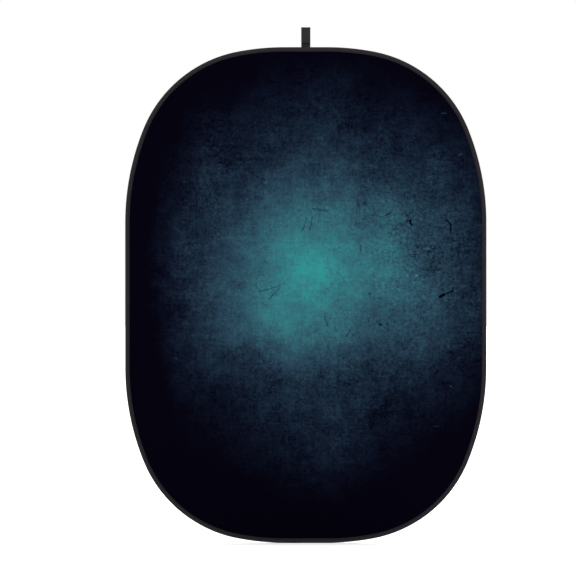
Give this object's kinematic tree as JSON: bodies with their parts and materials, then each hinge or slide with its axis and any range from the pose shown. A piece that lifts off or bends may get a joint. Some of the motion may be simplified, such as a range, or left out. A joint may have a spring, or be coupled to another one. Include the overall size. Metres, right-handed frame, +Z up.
{
  "type": "collapsible background panel",
  "caption": "Pop-up photo background panel: rounded oval of printed cloth over a spring-steel hoop, edge tape and webbing hanging loop; folds in half top over bottom.",
  "frame": {"origin": "the seat inside the top of the hanging loop, where the hook or peg that holds the panel up bears", "axes": "+Z up along the panel's height, +X along its width, -Y out of the printed front"},
  "size_m": [1.5, 0.0201, 2.1416],
  "materials": {
    "printed_cloth": "matte woven cloth with a mottled teal-to-navy print, brightest at the middle",
    "black_cloth": "matte plain black cloth",
    "edge_tape": "matte black ribbed binding tape, folded over the edge",
    "webbing": "dark grey woven webbing",
    "thread": "black sewing thread with a slight sheen",
    "spring_steel": "flat tempered spring steel",
    "ferrule_steel": "bright zinc-plated crimped sleeve",
    "wrap_tape": "pale cloth-backed adhesive tape"
  },
  "bodies": {
    "panel_lower": {"hoop_lower_left": "spring_steel", "hoop_lower_right": "spring_steel", "hoop_ferrule": "ferrule_steel", "ferrule_wrap": "wrap_tape", "binding_lower": "edge_tape", "front_cloth_lower": "printed_cloth", "rear_cloth_lower": "black_cloth"},
    "flex_1": {"hoop_left_1": "spring_steel", "hoop_right_1": "spring_steel", "binding_left_1": "edge_tape", "binding_right_1": "edge_tape", "front_cloth_1": "printed_cloth", "rear_cloth_1": "black_cloth"},
    "flex_2": {"hoop_left_2": "spring_steel", "hoop_right_2": "spring_steel", "binding_left_2": "edge_tape", "binding_right_2": "edge_tape", "front_cloth_2": "printed_cloth", "rear_cloth_2": "black_cloth"},
    "flex_3": {"hoop_left_3": "spring_steel", "hoop_right_3": "spring_steel", "binding_left_3": "edge_tape", "binding_right_3": "edge_tape", "front_cloth_3": "printed_cloth", "rear_cloth_3": "black_cloth"},
    "flex_4": {"hoop_left_4": "spring_steel", "hoop_right_4": "spring_steel", "binding_left_4": "edge_tape", "binding_right_4": "edge_tape", "front_cloth_4": "printed_cloth", "rear_cloth_4": "black_cloth"},
    "flex_5": {"hoop_left_5": "spring_steel", "hoop_right_5": "spring_steel", "binding_left_5": "edge_tape", "binding_right_5": "edge_tape", "front_cloth_5": "printed_cloth", "rear_cloth_5": "black_cloth"},
    "flex_6": {"hoop_left_6": "spring_steel", "hoop_right_6": "spring_steel", "binding_left_6": "edge_tape", "binding_right_6": "edge_tape", "front_cloth_6": "printed_cloth", "rear_cloth_6": "black_cloth"},
    "flex_7": {"hoop_left_7": "spring_steel", "hoop_right_7": "spring_steel", "binding_left_7": "edge_tape", "binding_right_7": "edge_tape", "front_cloth_7": "printed_cloth", "rear_cloth_7": "black_cloth"},
    "panel_upper": {"hoop_upper": "spring_steel", "binding_upper": "edge_tape", "front_cloth_upper": "printed_cloth", "rear_cloth_upper": "black_cloth", "loop_tails": "webbing", "tail_bartack": "thread"},
    "hang_loop": {"hang_loop": "webbing", "bartack_front": "thread", "bartack_rear": "thread"}
  },
  "joints": [
    {"name": "loop_flap", "type": "hinge", "parent": "hang_loop", "child": "panel_upper", "pos_m": [0, 0, -0.0761], "axis": [1, 0, 0], "range_deg": [-95, 110]},
    {"name": "fold_1", "type": "hinge", "parent": "panel_upper", "child": "flex_1", "pos_m": [0, -0.0077, -0.8151], "axis": [1, 0, 0], "range_deg": [-25, 25], "stiffness_Nm_per_rad": 80},
    {"name": "fold_2", "type": "hinge", "parent": "flex_1", "child": "flex_2", "pos_m": [0, -0.0077, -0.8951], "axis": [1, 0, 0], "range_deg": [-25, 25], "stiffness_Nm_per_rad": 80},
    {"name": "fold_3", "type": "hinge", "parent": "flex_2", "child": "flex_3", "pos_m": [0, -0.0077, -0.9751], "axis": [1, 0, 0], "range_deg": [-25, 25], "stiffness_Nm_per_rad": 80},
    {"name": "fold_4", "type": "hinge", "parent": "flex_3", "child": "flex_4", "pos_m": [0, -0.0077, -1.0551], "axis": [1, 0, 0], "range_deg": [-25, 25], "stiffness_Nm_per_rad": 80},
    {"name": "fold_5", "type": "hinge", "parent": "flex_4", "child": "flex_5", "pos_m": [0, -0.0077, -1.1351], "axis": [1, 0, 0], "range_deg": [-25, 25], "stiffness_Nm_per_rad": 80},
    {"name": "fold_6", "type": "hinge", "parent": "flex_5", "child": "flex_6", "pos_m": [0, -0.0077, -1.2151], "axis": [1, 0, 0], "range_deg": [-25, 25], "stiffness_Nm_per_rad": 80},
    {"name": "fold_7", "type": "hinge", "parent": "flex_6", "child": "flex_7", "pos_m": [0, -0.0077, -1.2951], "axis": [1, 0, 0], "range_deg": [-25, 25], "stiffness_Nm_per_rad": 80},
    {"name": "fold_8", "type": "hinge", "parent": "flex_7", "child": "panel_lower", "pos_m": [0, -0.0077, -1.3751], "axis": [1, 0, 0], "range_deg": [-25, 25], "stiffness_Nm_per_rad": 80}
  ]
}
